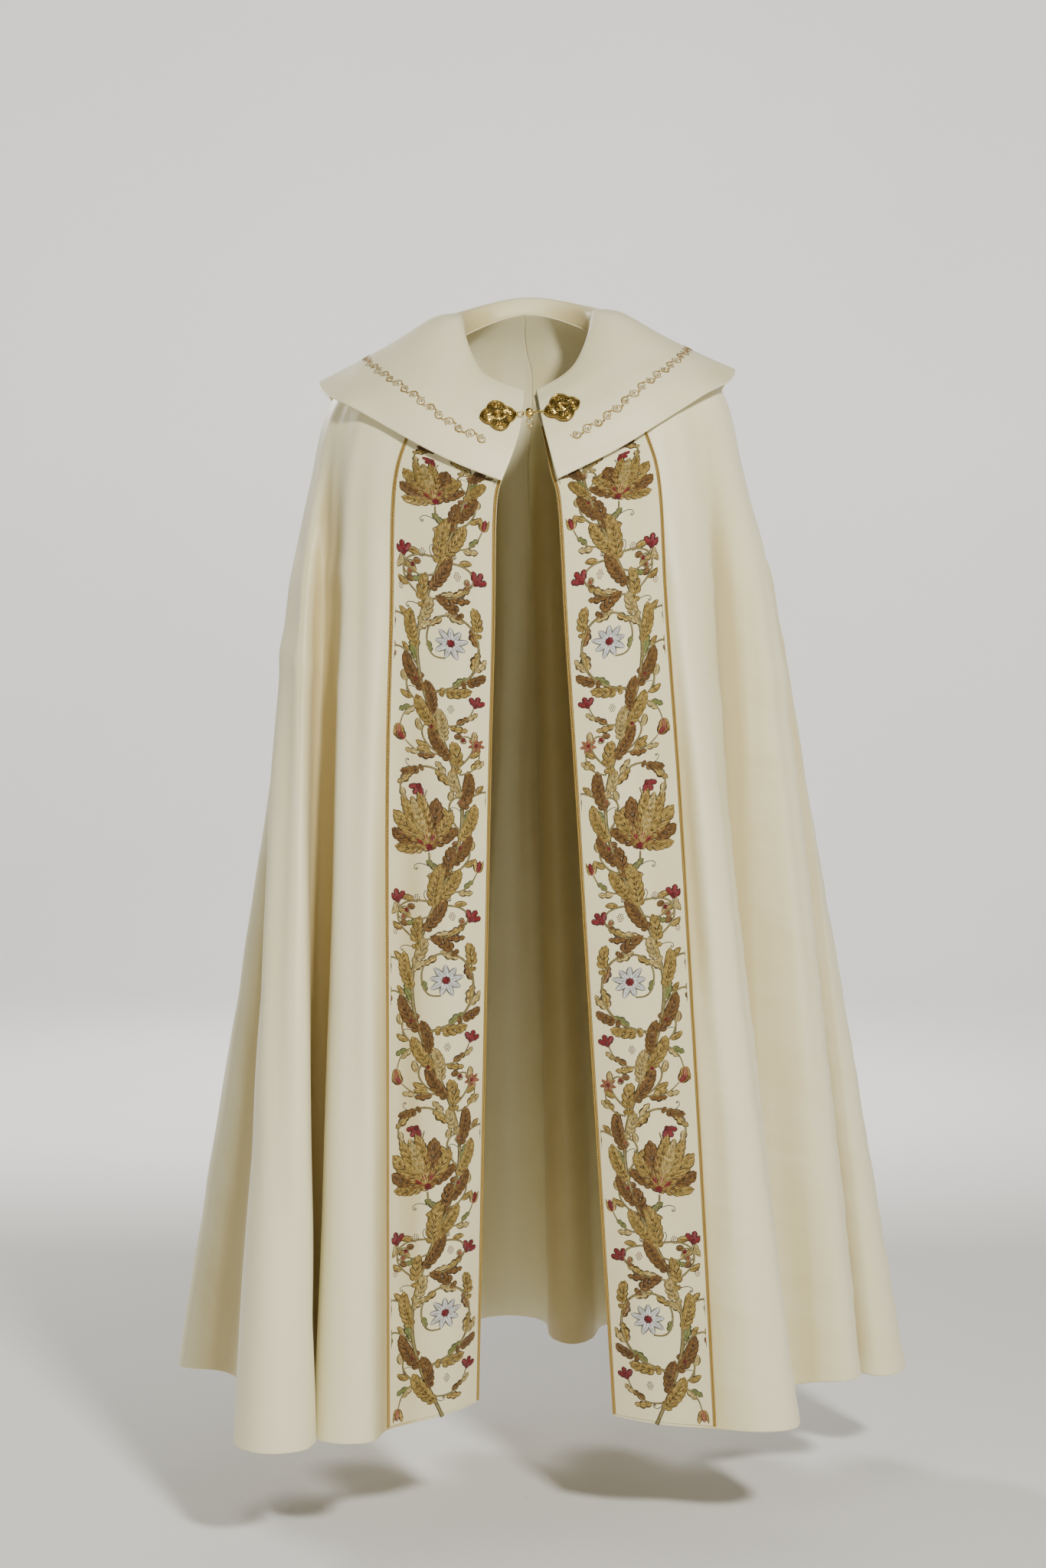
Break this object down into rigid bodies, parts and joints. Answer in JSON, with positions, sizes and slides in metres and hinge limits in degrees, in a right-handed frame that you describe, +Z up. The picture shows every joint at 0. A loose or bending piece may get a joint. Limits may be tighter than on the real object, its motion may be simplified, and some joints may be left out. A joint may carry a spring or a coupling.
{
  "type": "cope vestment",
  "caption": "Full-length open cloak worn over the shoulders, with embroidered front bands, a wide cape collar and a chained metal clasp at the chest.",
  "frame": {"origin": "between the wearer's shoulders, at the height of the sides of the neck seam", "axes": "-Y is the front, +X is the right side as seen from the front, +Z is up"},
  "size_m": [0.9686, 0.6697, 1.4218],
  "materials": {
    "cream_cloth": "fine satin weave with a soft sheen",
    "band_cloth": "matt weave that carries embroidery",
    "gold_cord": "twisted gold thread",
    "gold_metal": "pressed and gilded, slightly worn"
  },
  "bodies": {
    "cope": {"front_left": "cream_cloth", "side_left": "cream_cloth", "back_left": "cream_cloth", "back_right": "cream_cloth", "side_right": "cream_cloth", "front_right": "cream_cloth", "collar": "cream_cloth", "band_left": "band_cloth", "band_right": "band_cloth", "piping_left_inner": "gold_cord", "piping_left_outer": "gold_cord", "piping_right_inner": "gold_cord", "piping_right_outer": "gold_cord", "rosette_left": "gold_metal", "rosette_right": "gold_metal", "ring": "gold_metal", "hook": "gold_metal", "link_1": "gold_metal", "link_2": "gold_metal", "link_3": "gold_metal"},
    "drop": {"drop": "gold_metal"}
  },
  "joints": [
    {"name": "drop_swing", "type": "hinge", "parent": "cope", "child": "drop", "pos_m": [0.00347, -0.14437, -0.11497], "axis": [-1, 0, 0], "range_deg": [-15, 75]}
  ]
}
